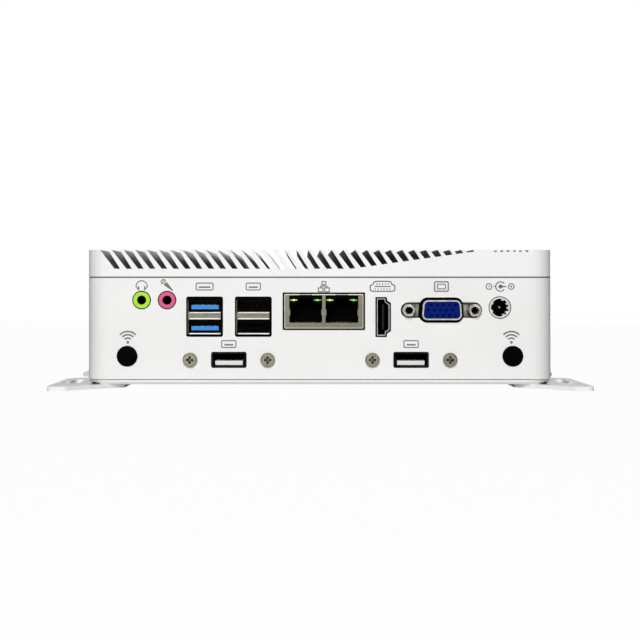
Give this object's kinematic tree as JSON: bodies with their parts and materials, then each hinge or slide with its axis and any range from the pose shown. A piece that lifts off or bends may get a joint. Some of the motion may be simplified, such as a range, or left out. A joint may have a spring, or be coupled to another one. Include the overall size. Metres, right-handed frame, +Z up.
{
  "type": "fanless industrial computer",
  "caption": "Compact fanless computer with a white case, a finned extruded cover, a row of ports on one side and keyhole brackets under it.",
  "frame": {"origin": "middle of the bounding box's underside, on the plane that the brackets rest on", "axes": "+X to the right across the port side, +Y from the port side to the rear, +Z up"},
  "size_m": [0.2034, 0.142, 0.0527],
  "materials": {
    "case_coat": "white fine powder coat",
    "bracket_coat": "white powder coat",
    "screw_steel": "nickel-plated steel",
    "shell_metal": "nickel-plated sheet",
    "board_laminate": "solder mask",
    "black_plastic": "black moulding",
    "white_plastic": "white moulding",
    "blue_plastic": "blue moulding",
    "deep_blue_plastic": "deep blue moulding",
    "green_plastic": "lime green moulding",
    "pink_plastic": "pink moulding",
    "yellow_lens": "yellow light guide",
    "green_lens": "green light guide",
    "clear_lens": "clear light guide",
    "pin_brass": "gold-plated pin",
    "pad_rubber": "soft thermal pad",
    "bare_aluminium": "milled",
    "cell_steel": "plain steel can",
    "button_metal": "brushed"
  },
  "bodies": {
    "case": {"analogue_video_housing": "black_plastic", "analogue_video_insert": "deep_blue_plastic", "analogue_video_shell": "shell_metal", "antenna_hole_plugs": "black_plastic", "audio_jack_bodies": "black_plastic", "audio_out_collar": "green_plastic", "board_screws": "screw_steel", "board_standoffs": "screw_steel", "bottom_cover": "case_coat", "bracket_screws": "screw_steel", "card_posts": "shell_metal", "card_sockets": "black_plastic", "case_screws": "screw_steel", "chassis_frame": "case_coat", "coin_cell": "cell_steel", "coin_cell_holder": "black_plastic", "digital_video_shell": "shell_metal", "digital_video_tongue": "black_plastic", "heat_block": "bare_aluminium", "heatsink_cover": "case_coat", "lan_insert": "black_plastic", "lan_link_lamps": "yellow_lens", "lan_shell": "shell_metal", "lan_speed_lamps": "green_lens", "lower_usb_boards": "board_laminate", "lower_usb_holders": "screw_steel", "lower_usb_screws": "screw_steel", "lower_usb_shells": "shell_metal", "lower_usb_tongues": "white_plastic", "main_board": "board_laminate", "memory_module": "board_laminate", "memory_socket": "black_plastic", "microphone_collar": "pink_plastic", "mount_bracket_left": "bracket_coat", "mount_bracket_right": "bracket_coat", "power_button_barrel": "button_metal", "power_button_nut": "button_metal", "power_inlet_body": "black_plastic", "power_inlet_pin": "pin_brass", "power_inlet_ring": "shell_metal", "processor_package": "black_plastic", "rear_lamps": "clear_lens", "storage_card": "board_laminate", "thermal_pad": "pad_rubber", "usb_three_shell": "shell_metal", "usb_three_tongues": "blue_plastic", "usb_two_shell": "shell_metal", "usb_two_tongues": "black_plastic", "video_jackscrews": "screw_steel", "wireless_card": "board_laminate"},
    "button": {"power_button_cap": "button_metal"}
  },
  "joints": [
    {"name": "power_press", "type": "slide", "parent": "case", "child": "button", "axis": [0, -1, 0], "range_m": [0, 0.001], "stiffness_N_per_m": 400, "springref_m": -0.001}
  ]
}
